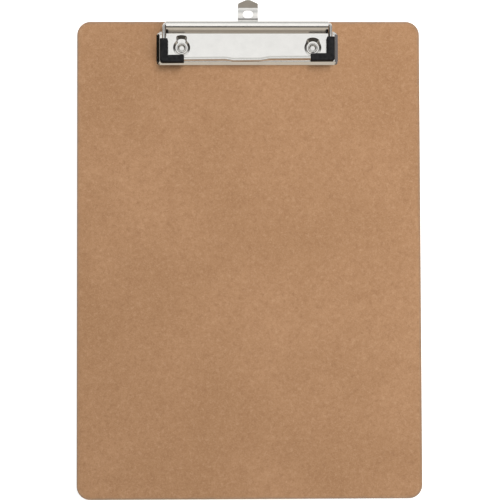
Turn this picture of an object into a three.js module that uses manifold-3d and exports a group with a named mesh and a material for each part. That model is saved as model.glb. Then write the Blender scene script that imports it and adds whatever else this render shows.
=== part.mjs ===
// A letter-size hardboard clipboard with a wire clip, in millimetres.
// Origin: centre of the board's back face. +X right, +Y towards the clip, +Z out of the writing face.

import * as THREE from 'three';
import { mergeVertices } from 'three/addons/utils/BufferGeometryUtils.js';
import { ConvexGeometry } from 'three/addons/geometries/ConvexGeometry.js';
import Module from 'manifold-3d';

const wasm = await Module();
wasm.setup();

const DEGREE = Math.PI / 180;

// ---- board ----
const BOARD_WIDTH = 228.6;
const BOARD_LENGTH = 317.5;
const BOARD_THICKNESS = 3.2;
const BOARD_CORNER_RADIUS = 9;
const RIVET_HOLE_RADIUS = 2.6;

// ---- clip placement: the clip's own frame sits on the top edge of the board's front face ----
const CLIP_OFFSET_X = -0.85;
const HANGER_OFFSET_X = 0.5;
const REST_GAP = 0.1;

// ---- base plate: pressed sheet steel; every "BACK" or "FRONT" is a distance from the top edge ----
const SHEET = 0.6;
const PLATE_HALF_WIDTH = 60.6;
const PLATE_BACK = 6.8;
const PLATE_FRONT = 29.1;
const FLOOR_HEIGHT = 1.7;
const RIM_BEVEL = 2.1;
const RIM_BOTTOM_RADIUS = 2.2;
const RIM_TOP_RADIUS = 0.6;
const ROLL_HALF_LENGTH = 54;
const ROLL_AXIS_BACK = 2.2;
const ROLL_OUTER_RADIUS = 1.95;
const ROLL_WRAP = 230 * DEGREE;
const HUMP_ANGLE = 47 * DEGREE;
const HUMP_RADIUS = 5.8;
const HUMP_STRAIGHT = 1.9;
const HUMP_FOOT_RADIUS = 0.9;
const HUMP_LAP = 1.5;
const SHEET_ARC_STEPS = 7;
const ROLL_ARC_STEPS = 18;
const DIMPLE_TOP_RADIUS = 5.35;
const DIMPLE_FLAT_RADIUS = 4.1;
const RIVET_X = 43.8;
const RIVET_BACK = 17.75;
const LUG_INNER_X = 7.1;
const LUG_WIDTH = 2.4;

// ---- jaw wire ----
const WIRE_RADIUS = 1.2;
const WIRE_SIDES = 12;
const WIRE_STEPS = 170;
const LEG_X = 55.5;
const BAR_FRONT = 25.3;
const BAR_SKEW = 0.6;
const HINGE_BEND = 2;
const CORNER_BEND = 2.6;
const BOW_DEPTH = 0.9;
const BOW_FLAT = 9.3;
const BOW_RAMP = 5.3;
const BOW_BEND = 6;
const KNEE_BACK = 9.6;
const KNEE_BEND = 5;
const FOOT_X = 12.5;
const FOOT_BEND = 1.4;
const FOOT_LENGTH = 2.7;
const FOOT_LEAN = 20 * DEGREE;
const FOOT_CLEARANCE = 0.8;

// ---- corner grips: moulded rubber elbows on the wire's corners ----
const GRIP_WIDTH = 5.2;
const GRIP_EDGE_RADIUS = 1.7;
const GRIP_CORNER_RADIUS = 1.6;
const GRIP_BORE_RADIUS = 1.35;
const GRIP_BORE_STEPS = 30;
const GRIP_BACK = 11.65;
const GRIP_INNER_X = 42.1;

// ---- rivets: semi-tubular, rolled over at the front ----
const RIVET_RIM_RADIUS = 3.3;
const RIVET_RIM_HEIGHT = 0.9;
const RIVET_BORE_RADIUS = 2.15;
const RIVET_BORE_DEPTH = 3.2;
const SHANK_RADIUS = 2.4;
const BACK_HEAD_RADIUS = 4.5;
const BACK_HEAD_HEIGHT = 0.8;
const ROUND_STEPS = 30;

// ---- hanger tab ----
const TAB_SHEET = 0.8;
const TAB_HALF_WIDTH = 6.65;
const TAB_REACH = 9.05;
const LIP_ANGLE = 27 * DEGREE;
const LIP_PLAN = 5.5;
const LIP_SIDE_PLAN = 2.7;
const TAB_HOLE_HALF_LENGTH = 3.45;
const TAB_HOLE_HALF_WIDTH = 2.6;
const TAB_HOLE_REACH = 4.8;
const TAIL_SHOULDER = 2.9;
const TAIL_END = 9.5;
const TAIL_HALF_WIDTH = 9.4;
const TAIL_CORNER = 1.5;

// ---- values worked out from the sizes above ----
const HUMP_RISE = (HUMP_RADIUS + HUMP_FOOT_RADIUS) * (1 - Math.cos(HUMP_ANGLE))
  + HUMP_STRAIGHT * Math.sin(HUMP_ANGLE);
const ROLL_AXIS_HEIGHT = FLOOR_HEIGHT + HUMP_RISE - ROLL_OUTER_RADIUS;
const ROLL_MIDDLE_RADIUS = ROLL_OUTER_RADIUS - SHEET / 2;
const BAR_HEIGHT = FLOOR_HEIGHT + GRIP_WIDTH / 2 + REST_GAP;
const RIM_WALL = SHEET * Math.SQRT2;
const DIMPLE_FLOOR = REST_GAP + SHEET;

const paint = (color, roughness, metalness) =>
  new THREE.MeshStandardMaterial({ color, roughness, metalness });

const hardboard = paint(0xb58e6b, 0.85, 0);
const nickel = paint(0xdcdad6, 0.12, 1);
const rubber = paint(0x151515, 0.6, 0);

// ---- helpers ----

// A closed geometry as a solid for cutting and joining.
function solidOf(geometry) {
  const bare = geometry.index ? geometry.toNonIndexed() : geometry.clone();
  bare.deleteAttribute('normal');
  bare.deleteAttribute('uv');
  const merged = mergeVertices(bare, 1e-4);
  return new wasm.Manifold(new wasm.Mesh({
    numProp: 3,
    vertProperties: new Float32Array(merged.attributes.position.array),
    triVerts: new Uint32Array(merged.index.array),
  }));
}

function geometryOf(solid) {
  const mesh = solid.getMesh();
  const geometry = new THREE.BufferGeometry();
  geometry.setAttribute('position', new THREE.BufferAttribute(mesh.vertProperties, 3));
  geometry.setIndex(new THREE.BufferAttribute(mesh.triVerts, 1));
  geometry.computeVertexNormals();
  return geometry;
}

function box(minX, maxX, minY, maxY, minZ, maxZ) {
  const geometry = new THREE.BoxGeometry(maxX - minX, maxY - minY, maxZ - minZ);
  return geometry.translate((minX + maxX) / 2, (minY + maxY) / 2, (minZ + maxZ) / 2);
}

// A cone or cylinder standing along +Z from height bottom to height top.
function cone(bottomRadius, topRadius, bottom, top) {
  const geometry = new THREE.CylinderGeometry(topRadius, bottomRadius, top - bottom, ROUND_STEPS);
  return geometry.rotateX(Math.PI / 2).translate(0, 0, (bottom + top) / 2);
}

function roundedRectangle(halfWidth, minY, maxY, radius) {
  const shape = new THREE.Shape();
  shape.moveTo(halfWidth, minY + radius);
  shape.absarc(halfWidth - radius, maxY - radius, radius, 0, Math.PI / 2);
  shape.absarc(-halfWidth + radius, maxY - radius, radius, Math.PI / 2, Math.PI);
  shape.absarc(-halfWidth + radius, minY + radius, radius, Math.PI, 1.5 * Math.PI);
  shape.absarc(halfWidth - radius, minY + radius, radius, 1.5 * Math.PI, 2 * Math.PI);
  return shape;
}

// The convex solid between two rounded rectangles at different heights: a bevelled slab.
function bevelledSlab(lower, lowerHeight, upper, upperHeight) {
  const arcSteps = 4;
  const lowerPoints = lower.getPoints(arcSteps).map((p) => new THREE.Vector3(p.x, p.y, lowerHeight));
  const upperPoints = upper.getPoints(arcSteps).map((p) => new THREE.Vector3(p.x, p.y, upperHeight));
  return new ConvexGeometry([...lowerPoints, ...upperPoints]);
}

// Extrudes an outline drawn in the (Y, Z) plane along X.
function extrudeAcross(outline, minX, maxX) {
  const geometry = new THREE.ExtrudeGeometry(new THREE.Shape(outline), {
    depth: maxX - minX,
    bevelEnabled: false,
  });
  const turn = new THREE.Matrix4().makeBasis(
    new THREE.Vector3(0, 1, 0),
    new THREE.Vector3(0, 0, 1),
    new THREE.Vector3(1, 0, 0),
  );
  return geometry.applyMatrix4(turn).translate(minX, 0, 0);
}

// The outline of a bent strip of sheet: its middle line, thickened to both sides.
function stripOutline(middle, thickness) {
  const offsetSide = (side) => middle.map((point, i) => {
    const before = middle[Math.max(i - 1, 0)];
    const after = middle[Math.min(i + 1, middle.length - 1)];
    const inward = point.clone().sub(before).normalize();
    const outward = after.clone().sub(point).normalize();
    const along = inward.clone().add(outward).normalize();
    const reach = along.dot(i === 0 ? outward : inward);
    const normal = new THREE.Vector2(-along.y, along.x);
    return point.clone().addScaledVector(normal, side * thickness / 2 / reach);
  });
  return [...offsetSide(1), ...offsetSide(-1).reverse()];
}

// An arc from `from` to `to` about `center`.
class Bend extends THREE.Curve {
  constructor(center, from, to) {
    super();
    this.center = center;
    this.first = from.clone().sub(center);
    this.last = to.clone().sub(center);
    this.angle = this.first.angleTo(this.last);
  }

  getPoint(t, target = new THREE.Vector3()) {
    const sine = Math.sin(this.angle);
    return target.copy(this.center)
      .addScaledVector(this.first, Math.sin((1 - t) * this.angle) / sine)
      .addScaledVector(this.last, Math.sin(t * this.angle) / sine);
  }
}

// Straight runs through corner points, joined by round bends: each corner is {at, bend}.
class BentPath extends THREE.Curve {
  constructor(start, corners, end) {
    super();
    this.arcLengthDivisions = 1200;
    this.pieces = [];
    let last = start;
    corners.forEach(({ at, bend }, i) => {
      const next = i + 1 < corners.length ? corners[i + 1].at : end;
      const back = last.clone().sub(at).normalize();
      const ahead = next.clone().sub(at).normalize();
      const halfAngle = back.angleTo(ahead) / 2;
      const reach = bend / Math.tan(halfAngle);
      const from = at.clone().addScaledVector(back, reach);
      const to = at.clone().addScaledVector(ahead, reach);
      const inward = back.clone().add(ahead).normalize();
      const center = at.clone().addScaledVector(inward, bend / Math.sin(halfAngle));
      this.pieces.push(new THREE.LineCurve3(last, from), new Bend(center, from, to));
      last = to;
    });
    this.pieces.push(new THREE.LineCurve3(last, end));
    this.pieceLengths = this.pieces.map((piece) => piece.getLength());
    this.wholeLength = this.pieceLengths.reduce((sum, length) => sum + length, 0);
  }

  getPoint(t, target = new THREE.Vector3()) {
    let remaining = t * this.wholeLength;
    let i = 0;
    while (i < this.pieces.length - 1 && remaining > this.pieceLengths[i]) {
      remaining -= this.pieceLengths[i];
      i += 1;
    }
    return this.pieces[i].getPoint(Math.min(remaining / this.pieceLengths[i], 1), target);
  }
}

// A circle outline with the given number of sides.
function circlePath(radius, sides, PathClass = THREE.Path) {
  const path = new PathClass();
  path.absarc(0, 0, radius, 0, 2 * Math.PI);
  return new PathClass(path.getSpacedPoints(sides).slice(0, sides));
}

// ---- the board ----

function boardGeometry() {
  const halfLength = BOARD_LENGTH / 2;
  const outline = roundedRectangle(BOARD_WIDTH / 2, -halfLength, halfLength, BOARD_CORNER_RADIUS);
  for (const side of [-1, 1]) {
    const hole = new THREE.Path();
    const holeX = CLIP_OFFSET_X + side * RIVET_X;
    hole.absarc(holeX, halfLength - RIVET_BACK, RIVET_HOLE_RADIUS, 0, 2 * Math.PI);
    outline.holes.push(hole);
  }
  return new THREE.ExtrudeGeometry(outline, {
    depth: BOARD_THICKNESS,
    bevelEnabled: false,
    curveSegments: ROUND_STEPS / 3,
  });
}

// ---- the base plate, drawn in the clip's frame: Y = 0 is the top edge, Z = 0 the board's front ----

// The upward normal of a surface that leans `lean` from level towards the front.
const leaning = (lean) => new THREE.Vector2(-Math.sin(lean), Math.cos(lean));

// Points of an arc about a center, whose surface lean goes from one angle to another.
function arcByLean(center, radius, fromLean, toLean, steps) {
  return Array.from({ length: steps + 1 }, (_, i) => {
    const lean = fromLean + (toLean - fromLean) * i / steps;
    return center.clone().addScaledVector(leaning(lean), radius);
  });
}

// Hump and hinge roll: one strip that leaves the floor, climbs over the hump and curls round
// the wire.
function humpAndRoll() {
  const axis = new THREE.Vector2(-ROLL_AXIS_BACK, ROLL_AXIS_HEIGHT);
  const humpCenter = axis.clone().addScaledVector(leaning(0), ROLL_OUTER_RADIUS - HUMP_RADIUS);
  const downhill = new THREE.Vector2(-Math.cos(HUMP_ANGLE), -Math.sin(HUMP_ANGLE));
  const footCenter = humpCenter.clone()
    .addScaledVector(leaning(HUMP_ANGLE), HUMP_RADIUS + HUMP_FOOT_RADIUS)
    .addScaledVector(downhill, HUMP_STRAIGHT);
  const lap = new THREE.Vector2(footCenter.x - HUMP_LAP, FLOOR_HEIGHT - SHEET / 2);
  const middle = [
    lap,
    ...arcByLean(footCenter, -HUMP_FOOT_RADIUS - SHEET / 2, 0, HUMP_ANGLE, SHEET_ARC_STEPS),
    ...arcByLean(humpCenter, HUMP_RADIUS - SHEET / 2, HUMP_ANGLE, 0, SHEET_ARC_STEPS),
    ...arcByLean(axis, ROLL_MIDDLE_RADIUS, 0, -ROLL_WRAP, ROLL_ARC_STEPS).slice(1),
  ];
  return solidOf(extrudeAcross(stripOutline(middle, SHEET), -ROLL_HALF_LENGTH, ROLL_HALF_LENGTH));
}

// A slab whose sides lean in like the pressed rim; `inset` moves every face inwards.
function traySlab(inset, bottom, top) {
  const lower = roundedRectangle(
    PLATE_HALF_WIDTH - inset, -PLATE_FRONT + inset, -PLATE_BACK - inset, RIM_BOTTOM_RADIUS);
  const upper = roundedRectangle(
    PLATE_HALF_WIDTH - RIM_BEVEL - inset,
    -PLATE_FRONT + RIM_BEVEL + inset,
    -PLATE_BACK - RIM_BEVEL - inset,
    RIM_TOP_RADIUS);
  return solidOf(bevelledSlab(lower, bottom, upper, top));
}

function basePlateGeometry() {
  let plate = traySlab(0, REST_GAP, FLOOR_HEIGHT)
    .subtract(traySlab(RIM_WALL, REST_GAP - SHEET, FLOOR_HEIGHT - SHEET))
    .subtract(solidOf(box(
      -ROLL_HALF_LENGTH, ROLL_HALF_LENGTH,
      -PLATE_BACK - RIM_BEVEL - RIM_WALL, 0,
      0, FLOOR_HEIGHT - SHEET)))
    .add(humpAndRoll());
  for (const side of [-1, 1]) {
    plate = cutFootWindow(addLug(addDimple(plate, side), side), side);
  }
  return geometryOf(plate);
}

// The rivet seat: a cone pressed down until the sheet rests on the board.
function addDimple(plate, side) {
  const place = (geometry) => solidOf(geometry.translate(side * RIVET_X, -RIVET_BACK, 0));
  const outside = cone(DIMPLE_FLAT_RADIUS + SHEET, DIMPLE_TOP_RADIUS + SHEET, REST_GAP, FLOOR_HEIGHT);
  const inside = cone(DIMPLE_FLAT_RADIUS, DIMPLE_TOP_RADIUS, DIMPLE_FLOOR, FLOOR_HEIGHT);
  const aboveFloor = cone(DIMPLE_TOP_RADIUS, DIMPLE_TOP_RADIUS, FLOOR_HEIGHT, FLOOR_HEIGHT + SHEET);
  const hole = cone(RIVET_HOLE_RADIUS, RIVET_HOLE_RADIUS, 0, FLOOR_HEIGHT);
  return plate.add(place(outside))
    .subtract(place(inside))
    .subtract(place(aboveFloor))
    .subtract(place(hole));
}

// A lug that hangs from the roll down to the board, beside the hanger tab.
function addLug(plate, side) {
  const near = side * LUG_INNER_X;
  const far = side * (LUG_INNER_X + LUG_WIDTH);
  const lug = box(
    HANGER_OFFSET_X + Math.min(near, far), HANGER_OFFSET_X + Math.max(near, far),
    -ROLL_AXIS_BACK - SHEET / 2, -ROLL_AXIS_BACK + SHEET / 2,
    REST_GAP, ROLL_AXIS_HEIGHT - ROLL_MIDDLE_RADIUS);
  return plate.add(solidOf(lug));
}

// The opening in the roll's underside that the wire's foot swings through.
function cutFootWindow(plate, side) {
  const near = side * (FOOT_X - WIRE_RADIUS - FOOT_CLEARANCE);
  const far = side * (FOOT_X + FOOT_BEND + FOOT_CLEARANCE);
  const window = box(
    Math.min(near, far), Math.max(near, far),
    -ROLL_AXIS_BACK - ROLL_OUTER_RADIUS, 0,
    0, ROLL_AXIS_HEIGHT + SHEET / 2);
  return plate.subtract(solidOf(window));
}

// ---- the jaw wire ----

const axisPoint = (x) => new THREE.Vector3(x, -ROLL_AXIS_BACK, ROLL_AXIS_HEIGHT);
const kneePoint = (x) => new THREE.Vector3(x, -KNEE_BACK, BAR_HEIGHT);
const barPoint = (x, forward) =>
  new THREE.Vector3(x, -BAR_FRONT + BAR_SKEW * x / LEG_X - forward, BAR_HEIGHT);

// Round wire along a path.
function wireAlong(path, radius, steps) {
  return new THREE.ExtrudeGeometry(circlePath(radius, WIRE_SIDES, THREE.Shape), {
    steps,
    extrudePath: path,
    bevelEnabled: false,
  });
}

function jawWireGeometry() {
  const footDirection = new THREE.Vector3(0, Math.sin(FOOT_LEAN), -Math.cos(FOOT_LEAN));
  const footTip = (side) => axisPoint(side * FOOT_X).addScaledVector(footDirection, FOOT_LENGTH);
  const path = new BentPath(footTip(-1), [
    { at: axisPoint(-FOOT_X), bend: FOOT_BEND },
    { at: axisPoint(-LEG_X), bend: HINGE_BEND },
    { at: kneePoint(-LEG_X), bend: KNEE_BEND },
    { at: barPoint(-LEG_X, 0), bend: CORNER_BEND },
    { at: barPoint(-BOW_FLAT - BOW_RAMP, 0), bend: BOW_BEND },
    { at: barPoint(-BOW_FLAT, BOW_DEPTH), bend: BOW_BEND },
    { at: barPoint(BOW_FLAT, BOW_DEPTH), bend: BOW_BEND },
    { at: barPoint(BOW_FLAT + BOW_RAMP, 0), bend: BOW_BEND },
    { at: barPoint(LEG_X, 0), bend: CORNER_BEND },
    { at: kneePoint(LEG_X), bend: KNEE_BEND },
    { at: axisPoint(LEG_X), bend: HINGE_BEND },
    { at: axisPoint(FOOT_X), bend: FOOT_BEND },
  ], footTip(1));
  return wireAlong(path, WIRE_RADIUS, WIRE_STEPS);
}

// ---- the corner grips ----

// The elbow's plan, drawn inside its edge radius, which the bevel gives back.
function gripPlan(side) {
  const outer = GRIP_WIDTH / 2 - GRIP_EDGE_RADIUS;
  const corner = barPoint(side * LEG_X, 0);
  const across = barPoint(side * GRIP_INNER_X, 0);
  const back = -GRIP_BACK + side * BAR_SKEW;
  const round = side * GRIP_CORNER_RADIUS;
  const plan = new THREE.Shape();
  plan.moveTo(across.x + side * GRIP_EDGE_RADIUS, across.y - outer);
  plan.lineTo(corner.x + side * outer - round, corner.y - outer);
  plan.quadraticCurveTo(
    corner.x + side * outer, corner.y - outer,
    corner.x + side * outer, corner.y - outer + GRIP_CORNER_RADIUS);
  plan.lineTo(corner.x + side * outer, back - GRIP_EDGE_RADIUS);
  plan.lineTo(corner.x - side * outer, back - GRIP_EDGE_RADIUS);
  plan.lineTo(corner.x - side * outer, corner.y + outer);
  plan.lineTo(across.x + side * GRIP_EDGE_RADIUS, across.y + outer);
  plan.closePath();
  return plan;
}

function cornerGripGeometry(side) {
  const moulding = new THREE.ExtrudeGeometry(gripPlan(side), {
    depth: GRIP_WIDTH - 2 * GRIP_EDGE_RADIUS,
    bevelThickness: GRIP_EDGE_RADIUS,
    bevelSize: GRIP_EDGE_RADIUS,
    bevelSegments: 3,
    curveSegments: 4,
  }).translate(0, 0, BAR_HEIGHT - GRIP_WIDTH / 2 + GRIP_EDGE_RADIUS);
  const boreStart = kneePoint(side * LEG_X);
  const bore = new BentPath(
    boreStart,
    [{ at: barPoint(side * LEG_X, 0), bend: CORNER_BEND }],
    barPoint(side * (GRIP_INNER_X - GRIP_WIDTH), 0));
  const boreSolid = solidOf(wireAlong(bore, GRIP_BORE_RADIUS, GRIP_BORE_STEPS));
  return geometryOf(solidOf(moulding).subtract(boreSolid));
}

// ---- the rivets ----

function rivetGeometry() {
  const headBack = -BOARD_THICKNESS - REST_GAP - BACK_HEAD_HEIGHT;
  const rimUnder = DIMPLE_FLOOR + REST_GAP;
  const rimTop = rimUnder + RIVET_RIM_HEIGHT;
  const chamfer = BACK_HEAD_HEIGHT / 4;
  const profile = [
    [0, headBack],
    [BACK_HEAD_RADIUS - chamfer, headBack],
    [BACK_HEAD_RADIUS, headBack + chamfer],
    [BACK_HEAD_RADIUS, headBack + BACK_HEAD_HEIGHT],
    [SHANK_RADIUS, headBack + BACK_HEAD_HEIGHT],
    [SHANK_RADIUS, rimUnder],
    [RIVET_RIM_RADIUS - RIVET_RIM_HEIGHT / 4, rimUnder],
    [RIVET_RIM_RADIUS, rimUnder + RIVET_RIM_HEIGHT / 3],
    [RIVET_RIM_RADIUS, rimUnder + RIVET_RIM_HEIGHT * 2 / 3],
    [RIVET_RIM_RADIUS - RIVET_RIM_HEIGHT / 3, rimTop],
    [RIVET_BORE_RADIUS + RIVET_RIM_HEIGHT / 3, rimTop],
    [RIVET_BORE_RADIUS, rimTop - RIVET_RIM_HEIGHT / 3],
    [RIVET_BORE_RADIUS, rimTop - RIVET_BORE_DEPTH],
    [0, rimTop - RIVET_BORE_DEPTH],
  ].map(([radius, height]) => new THREE.Vector2(radius, height));
  return new THREE.LatheGeometry(profile, ROUND_STEPS).rotateX(Math.PI / 2);
}

// ---- the hanger tab, drawn about its own middle line ----

function tabPlan() {
  const plan = new THREE.Shape();
  plan.moveTo(TAB_HALF_WIDTH, TAB_REACH);
  plan.lineTo(-TAB_HALF_WIDTH, TAB_REACH);
  plan.lineTo(-TAB_HALF_WIDTH, -TAIL_SHOULDER);
  plan.lineTo(-TAIL_HALF_WIDTH, -TAIL_SHOULDER);
  plan.lineTo(-TAIL_HALF_WIDTH, -TAIL_END + TAIL_CORNER);
  plan.lineTo(-TAIL_HALF_WIDTH + TAIL_CORNER, -TAIL_END);
  plan.lineTo(TAIL_HALF_WIDTH - TAIL_CORNER, -TAIL_END);
  plan.lineTo(TAIL_HALF_WIDTH, -TAIL_END + TAIL_CORNER);
  plan.lineTo(TAIL_HALF_WIDTH, -TAIL_SHOULDER);
  plan.lineTo(TAB_HALF_WIDTH, -TAIL_SHOULDER);
  const hole = new THREE.Path();
  const roundX = TAB_HOLE_HALF_LENGTH - TAB_HOLE_HALF_WIDTH;
  hole.absarc(roundX, TAB_HOLE_REACH, TAB_HOLE_HALF_WIDTH, -Math.PI / 2, Math.PI / 2);
  hole.absarc(-roundX, TAB_HOLE_REACH, TAB_HOLE_HALF_WIDTH, Math.PI / 2, 1.5 * Math.PI);
  plan.holes.push(hole);
  return plan;
}

// The finger lip, flat, with its bend line on Y = 0.
function lipPlan() {
  const length = LIP_PLAN / Math.cos(LIP_ANGLE);
  const sideLength = LIP_SIDE_PLAN / Math.cos(LIP_ANGLE);
  return new THREE.Shape([
    new THREE.Vector2(-TAB_HALF_WIDTH, 0),
    new THREE.Vector2(TAB_HALF_WIDTH, 0),
    new THREE.Vector2(TAB_HALF_WIDTH, sideLength),
    new THREE.Vector2(TAB_HALF_WIDTH / 4, length),
    new THREE.Vector2(-TAB_HALF_WIDTH / 4, length),
    new THREE.Vector2(-TAB_HALF_WIDTH, sideLength),
  ]);
}

function hangerTabGeometry() {
  const flatSettings = { depth: TAB_SHEET, bevelEnabled: false, curveSegments: ROUND_STEPS / 3 };
  const flat = new THREE.ExtrudeGeometry(tabPlan(), flatSettings);
  const lip = new THREE.ExtrudeGeometry(lipPlan(), flatSettings)
    .rotateX(LIP_ANGLE)
    .translate(0, TAB_REACH, 0);
  return geometryOf(solidOf(flat).add(solidOf(lip)));
}

// ---- the assembly ----

function piece(name, geometry, material) {
  const mesh = new THREE.Mesh(geometry, material);
  mesh.name = name;
  return mesh;
}

const clip = new THREE.Group();
clip.position.set(CLIP_OFFSET_X, BOARD_LENGTH / 2, BOARD_THICKNESS);
clip.add(piece('base_plate', basePlateGeometry(), nickel));
clip.add(piece('jaw_wire', jawWireGeometry(), nickel));
for (const [side, word] of [[-1, 'left'], [1, 'right']]) {
  clip.add(piece(`corner_grip_${word}`, cornerGripGeometry(side), rubber));
  const rivet = piece(`rivet_${word}`, rivetGeometry(), nickel);
  rivet.position.set(side * RIVET_X, -RIVET_BACK, 0);
  clip.add(rivet);
}
const hangerTab = piece('hanger_tab', hangerTabGeometry(), nickel);
hangerTab.position.set(HANGER_OFFSET_X, 0, REST_GAP);
clip.add(hangerTab);

const group = new THREE.Group();
group.add(piece('board', boardGeometry(), hardboard));
group.add(clip);

export default group;
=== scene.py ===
"""A hardboard clipboard with a wire clip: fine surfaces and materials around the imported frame.

Lengths are in millimetres unless a name ends in _M. The board is drawn in the part's own frame. The clip's
pieces are drawn in the clip's frame: x = 0 on the clip's middle line, y = 0 on the board's top edge and
z = 0 on its writing face. A length whose name ends in BACK or FRONT runs from the top edge towards the
bottom, and so do TAIL_SHOULDER and TAIL_END. A REACH runs the other way, out over the edge.
"""

import math

import bmesh
import bpy
from mathutils import Matrix, Vector

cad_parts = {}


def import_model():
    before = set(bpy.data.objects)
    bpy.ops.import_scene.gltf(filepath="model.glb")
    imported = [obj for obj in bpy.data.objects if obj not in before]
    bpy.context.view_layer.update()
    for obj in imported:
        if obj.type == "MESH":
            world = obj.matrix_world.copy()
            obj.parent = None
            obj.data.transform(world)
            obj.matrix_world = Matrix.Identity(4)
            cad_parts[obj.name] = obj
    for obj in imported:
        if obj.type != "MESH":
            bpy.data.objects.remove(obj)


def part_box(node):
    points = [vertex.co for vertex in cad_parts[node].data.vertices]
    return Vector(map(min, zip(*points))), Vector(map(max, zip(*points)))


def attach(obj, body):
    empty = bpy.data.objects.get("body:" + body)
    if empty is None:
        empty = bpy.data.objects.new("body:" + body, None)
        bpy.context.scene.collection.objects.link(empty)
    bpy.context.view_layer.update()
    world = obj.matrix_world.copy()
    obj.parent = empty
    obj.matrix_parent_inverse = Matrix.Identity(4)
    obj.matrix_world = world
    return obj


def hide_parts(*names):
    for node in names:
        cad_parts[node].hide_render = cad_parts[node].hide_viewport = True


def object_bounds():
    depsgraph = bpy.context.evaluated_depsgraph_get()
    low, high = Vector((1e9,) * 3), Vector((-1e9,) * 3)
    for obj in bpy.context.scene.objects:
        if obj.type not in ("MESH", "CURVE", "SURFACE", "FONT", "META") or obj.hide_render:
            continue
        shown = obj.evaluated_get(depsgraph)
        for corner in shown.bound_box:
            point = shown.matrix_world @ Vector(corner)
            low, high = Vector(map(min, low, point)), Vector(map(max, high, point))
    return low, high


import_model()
cad_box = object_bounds()

MM = 0.001
DEGREE = math.pi / 180

# ---- the board ----
BOARD_CORNER_RADIUS = 9
BOARD_EDGE_RADIUS = 0.45
BOARD_EDGE_STEPS = 4
# the width of face beside the rounded edge over which the edge's painted shade and darker tone fade out
BOARD_EDGE_SHADE_BAND = 1.8
RIVET_HOLE_RADIUS = 2.6

# ---- the base plate ----
SHEET = 0.6
REST_GAP = 0.1
PLATE_HALF_WIDTH = 60.6
PLATE_BACK = 6.8
PLATE_FRONT = 29.1
FLOOR_HEIGHT = 1.7
RIM_BEVEL = 2.1
RIM_BEND_RADIUS = 1.5
RIM_BOTTOM_RADIUS = 2.2
RIM_TOP_RADIUS = 0.6
RIM_LEAST_RADIUS = 0.2
SUPPORT_STRIP = 0.3
EAR_INNER_X = 54.6
SLIT_BACK = 10.4
SLIT_END_STEPS = 8
ROLL_HALF_LENGTH = 54
ROLL_AXIS_BACK = 2.2
ROLL_OUTER_RADIUS = 1.95
ROLL_WRAP = 230 * DEGREE
HUMP_ANGLE = 43.5 * DEGREE
HUMP_RADIUS = 5.8
HUMP_STRAIGHT = 2.28
HUMP_FOOT_RADIUS = 1.3
DIMPLE_TOP_RADIUS = 5.65
DIMPLE_FLAT_RADIUS = 4
DIMPLE_TOP_BEND = 0.45
DIMPLE_FOOT_BEND = 0.35
# each side's ramp: the radii of its foot and its top, and half the angle that it takes up
RAMP_RADII = {-1: (5.9, 8.5), 1: (4.3, 6.9)}
RAMP_HALF_ANGLE = {-1: 30 * DEGREE, 1: 44 * DEGREE}
# where a ramp has faded out, and the width of its fade, both as shares of that half angle
RAMP_FADE = (1.3, 0.6)
RIVET_X = 43.8
RIVET_BACK = 17.75
LUG_INNER_X = 7.1
LUG_WIDTH = 2.4

# ---- the jaw wire ----
WIRE_RADIUS = 1.2
WIRE_END_ROUND = 0.35
WIRE_END_STEPS = 4
LEG_X = 55.5
BAR_FRONT = 25.3
BAR_SKEW = 0.6
HINGE_BEND = 2
CORNER_BEND = 2.6
BOW_DEPTH = 0.9
BOW_FLAT = 9.3
BOW_RAMP = 5.3
BOW_BEND = 6
KNEE_BACK = 9.6
KNEE_BEND = 5
FOOT_X = 12.5
FOOT_BEND = 1.4
FOOT_LENGTH = 2.7
FOOT_LEAN = 20 * DEGREE
FOOT_CLEARANCE = 0.8

# ---- the corner grips ----
GRIP_HALF_WIDTH = 2.6
GRIP_EDGE_RADIUS = 1.1
GRIP_END_ROUND = 0.6
GRIP_END_STEPS = 5
GRIP_OUTER_RADIUS = 1.9
GRIP_INNER_RADIUS = 0.4
GRIP_BORE_RADIUS = 1.3
GRIP_BACK = 11.65
GRIP_INNER_X = 42.1

# ---- the rivets ----
RIVET_RIM_RADIUS = 3.3
RIVET_RIM_HEIGHT = 0.9
RIVET_BORE_RADIUS = 2.15
RIVET_BORE_DEPTH = 3.2
RIVET_BORE_TAPER = 0.15
RIVET_BORE_BEND = 0.6
SHANK_RADIUS = 2.4
BACK_HEAD_RADIUS = 4.5
BACK_HEAD_HEIGHT = 0.8

# ---- the hanger tab ----
HANGER_OFFSET_X = 0.5
TAB_SHEET = 0.8
TAB_HALF_WIDTH = 6.65
TAB_REACH = 9.05
TAB_BEND_RADIUS = 1.6
LIP_ANGLE = 27 * DEGREE
LIP_LENGTH = 5.9
LIP_SIDE_LENGTH = 2.85
LIP_TIP_BEND = 5
LIP_CORNER_BEND = 0.8
TAB_HOLE_HALF_LENGTH = 3.45
TAB_HOLE_HALF_WIDTH = 2.6
TAB_HOLE_REACH = 4.8
TAB_HOLE_END_STEPS = 32
TAB_STEP_REACH = (-0.3, 0.6, 0.9, 2.2)
TAB_STEP_HEIGHT = 0.25
TAB_SWELL_REACH = 5.6
TAB_SWELL_LENGTH = 4.6
TAB_SWELL_HEIGHT = 0.12
TAIL_SHOULDER = 2.9
TAIL_END = 9.5
TAIL_HALF_WIDTH = 9.4
TAIL_CORNER = 1.5
TAIL_CORNER_BEND = 0.8
TAIL_SIDE_BEND = 0.3
NECK_BEND = 0.4
TAB_EDGE_BEVEL = 0.12

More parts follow.
